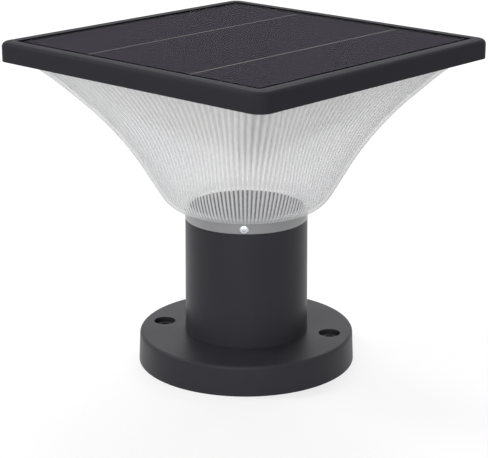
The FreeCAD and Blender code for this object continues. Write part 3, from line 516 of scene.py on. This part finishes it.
# The lens above its collar: the share of the height, the share of the widening, and the
# corner radius as a share of the half width (1 is round).
LENS_SECTIONS = (
    (0.0, 0.0, 1.0),
    (0.0055, 0.0609, 0.996),
    (0.0247, 0.1362, 0.978),
    (0.0706, 0.1971, 0.928),
    (0.1347, 0.2391, 0.8585),
    (0.2264, 0.2826, 0.747),
    (0.3547, 0.3420, 0.5875),
    (0.5014, 0.4304, 0.420),
    (0.6664, 0.5710, 0.270),
    (0.8314, 0.7623, 0.172),
    (0.9230, 0.8826, 0.134),
    (1.0, 1.0, 0.1096),
)
COLLAR_BOTTOM, COLLAR_TOP, LENS_TOP = 109.2 * MM, 117.3 * MM, 226.4 * MM
COLLAR_RADIUS, LENS_TOP_HALF = 45.0 * MM, 114.0 * MM
LENS_WALL, BORE_RADIUS = 2.4 * MM, 42.08 * MM
FLANGE_BOTTOM, FLANGE_TOP = 228.2 * MM, 230.2 * MM
FLANGE_HALF, FLANGE_CORNER = 121.6 * MM, 6.6 * MM
FLANGE_SCREW_LINE, FLANGE_SCREW_OFFSET, FLANGE_SCREW_HOLE = 118.4 * MM, 62.5 * MM, 1.5 * MM
BUTTON_HOLE = 6.3 * MM
# Ribs fade in over the first length above the collar and out over the second below the top.
RIB_START, RIB_END = 3 * MM, 2 * MM
FACES_PER_RIB = 8
# What the rib attribute says of walls without ribs: the collar's outside, and the flange with
# the whole inside.
SMOOTH_OUTSIDE, SMOOTH_INSIDE = 0.56, 0.5


def lens_profile(steps):
    """Rows of (height, half width, corner radius) up the outside, on smooth curves through
    the sections and closer together at the collar."""
    rows = []
    last = len(LENS_SECTIONS) - 1
    for step in range(steps):
        place = last * (step / (steps - 1)) ** 1.15
        first = min(int(place), last - 1)
        share = place - first
        knots = [LENS_SECTIONS[min(max(first + k, 0), last)] for k in (-1, 0, 1, 2)]
        up, out, roundness = (
            b + 0.5 * share * (c - a + share * (2 * a - 5 * b + 4 * c - d + share * (3 * (b - c) + d - a)))
            for a, b, c, d in zip(*knots)
        )
        half = COLLAR_RADIUS + out * (LENS_TOP_HALF - COLLAR_RADIUS)
        rows.append((COLLAR_TOP + up * (LENS_TOP - COLLAR_TOP), half, half * min(roundness, 1.0)))
    return rows


def inner_rows(outer):
    """The outside rows moved inwards by the wall, without those that would cross the bore."""
    rows = []
    for low, row, high in zip(outer, outer[1:], outer[2:]):
        slope = Vector((high[1] - low[1], high[0] - low[0])).normalized()
        inset = LENS_WALL * slope.y
        half = row[1] - inset
        if half > BORE_RADIUS + MM:
            rows.append((row[0] + LENS_WALL * slope.x, half, max(row[2] - inset, 5 * MM)))
    return rows


def rounded_square_point(half, corner, share):
    """The point at a share of the way round, and the direction outwards there."""
    flat = half - corner
    quarter = 2 * flat + math.pi * corner / 2
    side, along = divmod(share * 4 * quarter, quarter)
    if along < flat:
        x, y, turn = half, along, 0.0
    elif along < flat + math.pi * corner / 2:
        turn = (along - flat) / corner
        x = flat + corner * math.cos(turn)
        y = flat + corner * math.sin(turn)
    else:
        x, y, turn = 2 * flat + math.pi * corner / 2 - along, half, math.pi / 2
    spin = side * math.pi / 2
    point = Vector((x * math.cos(spin) - y * math.sin(spin), x * math.sin(spin) + y * math.cos(spin), 0))
    return point, Vector((math.cos(turn + spin), math.sin(turn + spin), 0))


def open_tube(columns, rows):
    """A plain tube of four-sided faces, its rows a metre apart, to be given its shape."""
    bpy.ops.object.select_all(action="DESELECT")
    bpy.ops.mesh.primitive_circle_add(vertices=columns, radius=1.0)
    tube = bpy.context.active_object
    bpy.ops.object.mode_set(mode="EDIT")
    bpy.ops.mesh.select_all(action="SELECT")
    for _ in range(rows - 1):
        bpy.ops.mesh.extrude_region_move(TRANSFORM_OT_translate={"value": (0, 0, 1.0)})
    bpy.ops.object.mode_set(mode="OBJECT")
    return tube


def ribbed_lens(details):
    """The lens as one regular tube: up the outside, round the flange and down the inside.
    Each point keeps in its rib attribute how far it stands out of the grooves, from 0 to 1,
    or a middle value where the wall is smooth."""
    outside = lens_profile(30)
    inside = inner_rows(outside)
    top_half, top_corner = outside[-1][1:]
    flange = (FLANGE_HALF, FLANGE_CORNER)
    bore = (BORE_RADIUS, BORE_RADIUS)
    rows = [(COLLAR_BOTTOM, COLLAR_RADIUS, COLLAR_RADIUS), *outside]
    rows += [(FLANGE_BOTTOM, top_half, top_corner), (FLANGE_BOTTOM, *flange), (FLANGE_TOP, *flange)]
    rows += [(FLANGE_TOP, inside[-1][1] + 0.8 * MM, inside[-1][2])]
    rows += [row for row in reversed(inside) if row[0] < FLANGE_BOTTOM + 0.4 * MM]
    rows += [(inside[0][0] - 0.5 * MM, *bore), (COLLAR_BOTTOM, *bore)]
    lens = open_tube(details.rib_count * FACES_PER_RIB, len(rows))
    ribs = lens.data.attributes.new("rib", "FLOAT", "POINT")
    for number, point in enumerate(lens.data.vertices):
        share = math.atan2(point.co.y, point.co.x) / math.tau % 1.0
        row = round(point.co.z)
        height, half, corner = rows[row]
        up = (height - COLLAR_TOP) / (LENS_TOP - COLLAR_TOP)
        fade = max(0.0, min(1.0, (height - COLLAR_TOP) / RIB_START, (LENS_TOP - height) / RIB_END))
        crest = -math.cos(math.tau * details.rib_count * share) if row <= len(outside) else 0.0
        depth = details.rib_depth_low + (details.rib_depth_high - details.rib_depth_low) * up
        place, outward = rounded_square_point(half, min(corner, half), share)
        point.co = place + outward * (crest * fade * depth / 2) + Vector((0, 0, height))
        smooth = SMOOTH_INSIDE if row > len(outside) else SMOOTH_OUTSIDE
        ribs.data[number].value = smooth + (0.5 + 0.5 * crest - smooth) * fade
    select_only(lens)
    bpy.ops.object.mode_set(mode="EDIT")
    bpy.ops.mesh.select_mode(type="EDGE")
    bpy.ops.mesh.select_all(action="DESELECT")
    bpy.ops.mesh.select_non_manifold()
    bpy.ops.mesh.bridge_edge_loops()
    bpy.ops.mesh.select_mode(type="VERT")
    bpy.ops.mesh.select_all(action="SELECT")
    bpy.ops.mesh.normals_make_consistent(inside=False)
    bpy.ops.object.mode_set(mode="OBJECT")
    return lens


def flange_cutters():
    """One tool for the holes in the flange: its eight screws' and the button's."""
    low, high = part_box("power_button")
    holes = [(low.x / 2 + high.x / 2, low.y / 2 + high.y / 2, BUTTON_HOLE)]
    for side in (-FLANGE_SCREW_LINE, FLANGE_SCREW_LINE):
        for offset in (-FLANGE_SCREW_OFFSET, FLANGE_SCREW_OFFSET):
            holes += [(side, offset, FLANGE_SCREW_HOLE), (offset, side, FLANGE_SCREW_HOLE)]
    middle = (FLANGE_BOTTOM + FLANGE_TOP) / 2
    cutters = []
    for x, y, radius in holes:
        bpy.ops.object.select_all(action="DESELECT")
        bpy.ops.mesh.primitive_cylinder_add(
            vertices=32, radius=radius, depth=6 * MM, location=(x, y, middle)
        )
        cutters.append(bpy.context.active_object)
    select_only(*cutters)
    bpy.ops.object.join()
    return cutters[0]


class POSTLIGHT_OT_lens(bpy.types.Operator):
    """Model the ribbed lens with its collar and its flange"""

    bl_idname = "postlight.lens"
    bl_label = "Lens"

    def execute(self, context):
        lens = ribbed_lens(context.scene.postlight_details)
        cut_away(lens, flange_cutters())
        bpy.ops.object.shade_smooth_by_angle(angle=math.radians(50))
        settle(lens, "lens_moulding", "head", "polycarbonate")
        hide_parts("lens")
        return {"FINISHED"}


SCREW_ANGLES = (-50.0, 70.0, 190.0)
SCREW_SEAT_RADIUS, SCREW_HEIGHT = 44.1 * MM, 112.7 * MM
SCREW_HEAD_RADIUS, SCREW_HEAD_HEIGHT = 3.4 * MM, 2.2 * MM
SCREW_SHANK_RADIUS, SCREW_LENGTH = 1.5 * MM, 3.0 * MM


def cross_cutter(reach, width, depth, height):
    """Two crossed bars for a screw's recess, narrower at the bottom."""
    bars = []
    for turn in (0.0, math.pi / 2):
        bpy.ops.mesh.primitive_cube_add(size=1.0)
        bar = bpy.context.active_object
        bar.scale = (reach * 2, width, depth * 2)
        bar.rotation_euler = (0, 0, turn)
        bar.location = (0, 0, height)
        select_only(bar)
        bpy.ops.object.transform_apply(location=True, rotation=True, scale=True)
        bpy.ops.object.mode_set(mode="EDIT")
        bpy.ops.mesh.select_all(action="DESELECT")
        bpy.ops.mesh.select_mode(type="FACE")
        bpy.ops.object.mode_set(mode="OBJECT")
        for face in bar.data.polygons:
            face.select = face.normal.z < -0.9
        bpy.ops.object.mode_set(mode="EDIT")
        bpy.ops.transform.resize(value=(0.45, 0.8, 1.0) if not turn else (0.8, 0.45, 1.0))
        bpy.ops.object.mode_set(mode="OBJECT")
        bars.append(bar)
    return bars


def pan_head_screw(head_radius, head_height, shank_radius, length, details):
    """A pan-head screw along +Z: spun from its outline, then given a cross recess."""
    outline = [
        (0.0, -length),
        (shank_radius * 0.75, -length),
        (shank_radius, -length + shank_radius * 0.5),
        (shank_radius, 0.0),
        (head_radius, 0.0),
        (head_radius, head_height * 0.42),
        (head_radius * 0.96, head_height * 0.66),
        (head_radius * 0.84, head_height * 0.86),
        (head_radius * 0.62, head_height * 0.97),
        (head_radius * 0.3, head_height),
        (0.0, head_height),
    ]
    bpy.ops.mesh.primitive_plane_add(size=MM)
    screw = bpy.context.active_object
    bpy.ops.object.mode_set(mode="EDIT")
    bpy.ops.mesh.select_all(action="SELECT")
    bpy.ops.mesh.merge(type="CENTER")
    bpy.ops.transform.translate(value=(outline[0][0], 0, outline[0][1]))
    for (r0, z0), (r1, z1) in zip(outline, outline[1:]):
        bpy.ops.mesh.extrude_vertices_move(TRANSFORM_OT_translate={"value": (r1 - r0, 0, z1 - z0)})
    bpy.ops.mesh.select_all(action="SELECT")
    bpy.ops.mesh.spin(steps=40, angle=math.tau, center=(0, 0, 0), axis=(0, 0, 1))
    bpy.ops.mesh.select_all(action="SELECT")
    bpy.ops.mesh.remove_doubles(threshold=0.00001)
    bpy.ops.mesh.normals_make_consistent(inside=False)
    bpy.ops.object.mode_set(mode="OBJECT")
    for bar in cross_cutter(head_radius * 0.55, details.recess_width, details.recess_depth, head_height):
        cut_away(screw, bar)
    select_only(screw)
    bpy.ops.object.shade_smooth_by_angle(angle=math.radians(28))
    return screw


class POSTLIGHT_OT_collar_screws(bpy.types.Operator):
    """Model the three screws that clamp the head on the post"""

    bl_idname = "postlight.collar_screws"
    bl_label = "Collar screws"

    def execute(self, context):
        details = context.scene.postlight_details
        first = pan_head_screw(
            SCREW_HEAD_RADIUS, SCREW_HEAD_HEIGHT, SCREW_SHANK_RADIUS, SCREW_LENGTH, details
        )
        screws = []
        for angle in SCREW_ANGLES:
            screw = first.copy()
            screw.data = first.data.copy()
            bpy.context.collection.objects.link(screw)
            turn = Matrix.Rotation(math.radians(angle), 4, "Z")
            lean = Matrix.Rotation(math.radians(90), 4, "Y")
            # Each cross stops at a turn of its own.
            spin = Matrix.Rotation(math.radians(angle * 1.7), 4, "Z")
            seat = Matrix.Translation((SCREW_SEAT_RADIUS, 0, SCREW_HEIGHT))
            screw.data.transform(turn @ seat @ lean @ spin)
            screws.append(screw)
        bpy.data.objects.remove(first)
        select_only(*screws)
        bpy.ops.object.join()
        screw = settle(screws[0], "collar_screws_pan_head", "head", "steel")
        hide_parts("collar_screws")
        return {"FINISHED"}


class POSTLIGHT_OT_frame(bpy.types.Operator):
    """Finish the square frame, its seal and its screws"""

    bl_idname = "postlight.frame"
    bl_label = "Frame"

    def execute(self, context):
        moulding = smooth_copy("top_frame", "frame_moulding")
        set_material(moulding, MATERIALS["frame_black"])
        finish_nodes("lens_gasket", "lens_screws")
        return {"FINISHED"}


# The ring of painted shade round the panel: its corner, and how far its top stays below the rim.
SHADE_LINE_CORNER, SHADE_LINE_BELOW_RIM = 2.5 * MM, 0.12 * MM
RIBBON_PLACE = 48.0 * MM
RIBBON_SHARE = 0.992


def rounded_ring(outer, outer_corner, width, low, high):
    """A flat square ring with rounded corners, from a plane that is bevelled and inset."""
    bpy.ops.object.select_all(action="DESELECT")
    bpy.ops.mesh.primitive_plane_add(size=2 * outer, location=(0, 0, low))
    ring = bpy.context.active_object
    bpy.ops.object.transform_apply(location=True, rotation=True, scale=True)
    bpy.ops.object.mode_set(mode="EDIT")
    bpy.ops.mesh.select_all(action="SELECT")
    bpy.ops.mesh.bevel(offset=outer_corner, segments=8, affect="VERTICES")
    bpy.ops.mesh.select_mode(type="FACE")
    bpy.ops.mesh.select_all(action="SELECT")
    bpy.ops.mesh.inset(thickness=width)
    bpy.ops.mesh.delete(type="FACE")
    bpy.ops.mesh.select_all(action="SELECT")
    bpy.ops.mesh.extrude_region_move(TRANSFORM_OT_translate={"value": (0, 0, high - low)})
    bpy.ops.mesh.select_mode(type="VERT")
    bpy.ops.mesh.select_all(action="SELECT")
    bpy.ops.mesh.normals_make_consistent(inside=False)
    bpy.ops.object.mode_set(mode="OBJECT")
    return ring


class POSTLIGHT_OT_panel(bpy.types.Operator):
    """Finish the solar panel, model a dark ring of painted shade for the gap at its edge, and model the
    tinned strips between its cells
    """

    bl_idname = "postlight.panel"
    bl_label = "Solar panel"

    def execute(self, context):
        details = context.scene.postlight_details
        finish_nodes("solar_cells", "panel_board", "panel_adhesive")
        film = smooth_copy("panel_glass", "panel_film")
        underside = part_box("panel_glass")[0].z
        for point in film.data.vertices:
            if point.co.z < underside + details.film_lift:
                point.co.z = underside + details.film_lift
        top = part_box("top_frame")[1].z
        # A dark ring of painted shade along the panel's edge, standing for the shadowed gap between the panel
        # and the rim.
        shade_line = rounded_ring(
            details.shade_line_half, SHADE_LINE_CORNER, details.shade_line_width, underside, top - SHADE_LINE_BELOW_RIM
        )
        settle(shade_line, "panel_gap_painted_shade", "head", "rubber")
        set_material(shade_line, MATERIALS["sealant"])
        low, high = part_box("solar_cells")
        strips = []
        for side in (-1, 1):
            bpy.ops.object.select_all(action="DESELECT")
            bpy.ops.mesh.primitive_cube_add(size=1.0)
            strip = bpy.context.active_object
            strip.scale = (details.ribbon_width, (high.y - low.y) * RIBBON_SHARE, details.ribbon_thickness)
            strip.location = (side * RIBBON_PLACE, 0, low.z + details.ribbon_thickness / 2)
            select_only(strip)
            bpy.ops.object.transform_apply(location=True, rotation=True, scale=True)
            bpy.ops.object.mode_set(mode="EDIT")
            bpy.ops.mesh.select_all(action="SELECT")
            bpy.ops.mesh.bevel(offset=details.ribbon_thickness * 0.3, segments=2, affect="EDGES")
            bpy.ops.object.mode_set(mode="OBJECT")
            strips.append(strip)
        select_only(*strips)
        bpy.ops.object.join()
        settle(strips[0], "cell_ribbons", "head", "nickel_plate")
        set_material(strips[0], MATERIALS["tinned_copper"])
        return {"FINISHED"}


class POSTLIGHT_OT_lights(bpy.types.Operator):
    """Finish the reflector plate and the board with the lights"""

    bl_idname = "postlight.lights"
    bl_label = "Reflector and lights"

    def execute(self, context):
        finish_nodes("reflector_plate", "reflector_screws", "led_board", "led_chips", "led_board_screws")
        return {"FINISHED"}


class POSTLIGHT_OT_battery(bpy.types.Operator):
    """Finish the battery box and all that it holds"""

    bl_idname = "postlight.battery"
    bl_label = "Battery box"

    def execute(self, context):
        smooth_copy("battery_box", "battery_box_moulding")
        smooth_copy("battery_cover", "battery_cover_moulding")
        smooth_copy("battery_cells", "battery_cells_sleeved")
        finish_nodes(
            "battery_box_screws",
            "battery_cover_gasket",
            "battery_cover_screws",
            "battery_pad",
            "battery_contacts",
            "battery_holder",
            "holder_screws",
            "control_board",
            "control_board_screws",
            "board_components",
        )
        return {"FINISHED"}


class POSTLIGHT_OT_button(bpy.types.Operator):
    """Finish the power button, its ring and its switch"""

    bl_idname = "postlight.button"
    bl_label = "Power button"

    def execute(self, context):
        smooth_copy("power_button", "power_button_pad")
        finish_nodes("button_bezel", "power_switch")
        return {"FINISHED"}


class POSTLIGHT_OT_leads(bpy.types.Operator):
    """Finish the wires inside the head"""

    bl_idname = "postlight.leads"
    bl_label = "Leads"

    def execute(self, context):
        for node in ("panel_lead", "battery_lead", "led_lead", "switch_lead"):
            smooth_copy(node, node + "_insulated", 60.0, level=False)
        return {"FINISHED"}


# ---- studio --------------------------------------------------------------------------------
FLOOR_LIFT = 0.66
SENSOR_WIDTH = 36.0
CAMERA_SHIFT = (-0.1118, -0.0583)


def seen_directly(tree):
    """1 for rays that show the background: straight, mirrored or through a clear piece."""
    path = add_node(tree, "ShaderNodeLightPath")
    mirrored = add_node(
        tree,
        "ShaderNodeMath",
        {0: path.outputs["Is Camera Ray"], 1: path.outputs["Is Glossy Ray"]},
        operation="MAXIMUM",
    )
    return add_node(
        tree,
        "ShaderNodeMath",
        {0: mirrored.outputs[0], 1: path.outputs["Is Transmission Ray"]},
        operation="MAXIMUM",
    ).outputs[0]


def light_world(studio):
    """Even light from all round, and plain white where the world itself is seen."""
    world = bpy.data.worlds.new("studio")
    bpy.context.scene.world = world
    world.use_nodes = True
    tree = world.node_tree
    tree.nodes.clear()
    light = add_node(tree, "ShaderNodeBackground", {"Color": (1, 1, 1, 1), "Strength": studio.sky})
    white = add_node(tree, "ShaderNodeBackground", {"Color": (1, 1, 1, 1), "Strength": 1.0})
    both = add_node(
        tree, "ShaderNodeMixShader", {0: seen_directly(tree), 1: light.outputs[0], 2: white.outputs[0]}
    )
    add_node(tree, "ShaderNodeOutputWorld", {"Surface": both.outputs[0]})


def floor_material():
    """Pale painted floor that keeps the object's shadow and is clear from below. Where it is
    seen, and in mirrored and passed rays, it is lifted towards white."""
    material = bpy.data.materials.new("floor_paint_pale")
    material.use_nodes = True
    tree = material.node_tree
    tree.nodes.clear()
    paint = add_node(tree, "ShaderNodeBsdfDiffuse", {"Color": (*linear("#AAAAAA"), 1.0)})
    lift = add_node(
        tree, "ShaderNodeMath", {0: seen_directly(tree), 1: FLOOR_LIFT}, operation="MULTIPLY"
    ).outputs[0]
    glow = add_node(tree, "ShaderNodeEmission", {"Color": (1, 1, 1, 1), "Strength": lift})
    top = add_node(tree, "ShaderNodeAddShader", {0: paint.outputs[0], 1: glow.outputs[0]})
    below = add_node(tree, "ShaderNodeBsdfTransparent")
    side = add_node(tree, "ShaderNodeNewGeometry").outputs["Backfacing"]
    both = add_node(tree, "ShaderNodeMixShader", {0: side, 1: top.outputs[0], 2: below.outputs[0]})
    add_node(tree, "ShaderNodeOutputMaterial", {"Surface": both.outputs[0]})
    return material


def add_lamp(name, place, target, size, power):
    """A round lamp of size metres that faces its target."""
    bpy.ops.object.light_add(type="AREA", location=place)
    lamp = bpy.context.active_object
    lamp.name = name
    lamp.data.shape = "DISK"
    lamp.data.size = size
    lamp.data.energy = power
    lamp.rotation_euler = (Vector(target) - Vector(place)).to_track_quat("-Z", "Y").to_euler()


def add_camera(studio):
    """The camera at the photograph's place, with its small shift."""
    bpy.ops.object.camera_add()
    camera = bpy.context.active_object
    camera.data.sensor_fit = "HORIZONTAL"
    camera.data.sensor_width = SENSOR_WIDTH
    camera.data.lens = studio.focal_length
    camera.data.shift_x, camera.data.shift_y = CAMERA_SHIFT
    camera.data.clip_start = 0.05
    camera.data.clip_end = 50.0
    tilt = Matrix.Rotation(math.pi / 2 - studio.camera_pitch, 4, "X")
    roll = Matrix.Rotation(studio.camera_roll, 4, "Z")
    heading = Matrix.Rotation(studio.camera_heading, 4, "Z")
    camera.matrix_world = Matrix.Translation(studio.camera_place) @ heading @ tilt @ roll
    bpy.context.scene.camera = camera


class POSTLIGHT_OT_stage(bpy.types.Operator):
    """Set the floor, the lamps and the camera"""

    bl_idname = "postlight.stage"
    bl_label = "Studio"

    def execute(self, context):
        studio = context.scene.postlight_studio
        bpy.ops.object.select_all(action="DESELECT")
        bpy.ops.mesh.primitive_plane_add(size=2 * studio.floor_half)
        floor = bpy.context.active_object
        floor.name = "floor"
        set_material(floor, floor_material())
        light_world(studio)
        add_lamp("key", (-0.9, 1.2, 2.1), (0, 0, 0.1), 1.6, studio.key)
        add_lamp("fill", (-1.4, -0.85, 1.7), (0, 0, 0.12), 0.4, studio.fill)
        add_lamp("front", (0.95, -1.6, 0.35), (0, 0, 0.08), 1.6, studio.front)
        add_camera(studio)
        context.scene.view_settings.view_transform = "Standard"
        return {"FINISHED"}


STEPS = (
    POSTLIGHT_OT_materials,
    POSTLIGHT_OT_foot,
    POSTLIGHT_OT_post,
    POSTLIGHT_OT_lens,
    POSTLIGHT_OT_collar_screws,
    POSTLIGHT_OT_frame,
    POSTLIGHT_OT_panel,
    POSTLIGHT_OT_lights,
    POSTLIGHT_OT_battery,
    POSTLIGHT_OT_button,
    POSTLIGHT_OT_leads,
    POSTLIGHT_OT_stage,
)


class VIEW3D_PT_postlight(bpy.types.Panel):
    """The steps in the order in which they are run"""

    bl_label = "Post Light"
    bl_space_type = "VIEW_3D"
    bl_region_type = "UI"
    bl_category = "Post Light"

    def draw(self, context):
        for group in ("postlight_finish", "postlight_details", "postlight_studio"):
            settings = getattr(context.scene, group)
            column = self.layout.column()
            for name in settings.bl_rna.properties.keys():
                if name not in ("name", "rna_type"):
                    column.prop(settings, name)
        for step in STEPS:
            self.layout.operator(step.bl_idname)


GROUPS = {
    "postlight_finish": PostLightFinish,
    "postlight_details": PostLightDetails,
    "postlight_studio": PostLightStudio,
}


def register():
    for name, group in GROUPS.items():
        bpy.utils.register_class(group)
        setattr(bpy.types.Scene, name, bpy.props.PointerProperty(type=group))
    for step in STEPS:
        bpy.utils.register_class(step)
    bpy.utils.register_class(VIEW3D_PT_postlight)


def unregister():
    bpy.utils.unregister_class(VIEW3D_PT_postlight)
    for step in reversed(STEPS):
        bpy.utils.unregister_class(step)
    for name, group in GROUPS.items():
        delattr(bpy.types.Scene, name)
        bpy.utils.unregister_class(group)


def main():
    register()
    for step in STEPS:
        family, name = step.bl_idname.split(".")
        getattr(getattr(bpy.ops, family), name)()


if __name__ == "__main__":
    main()
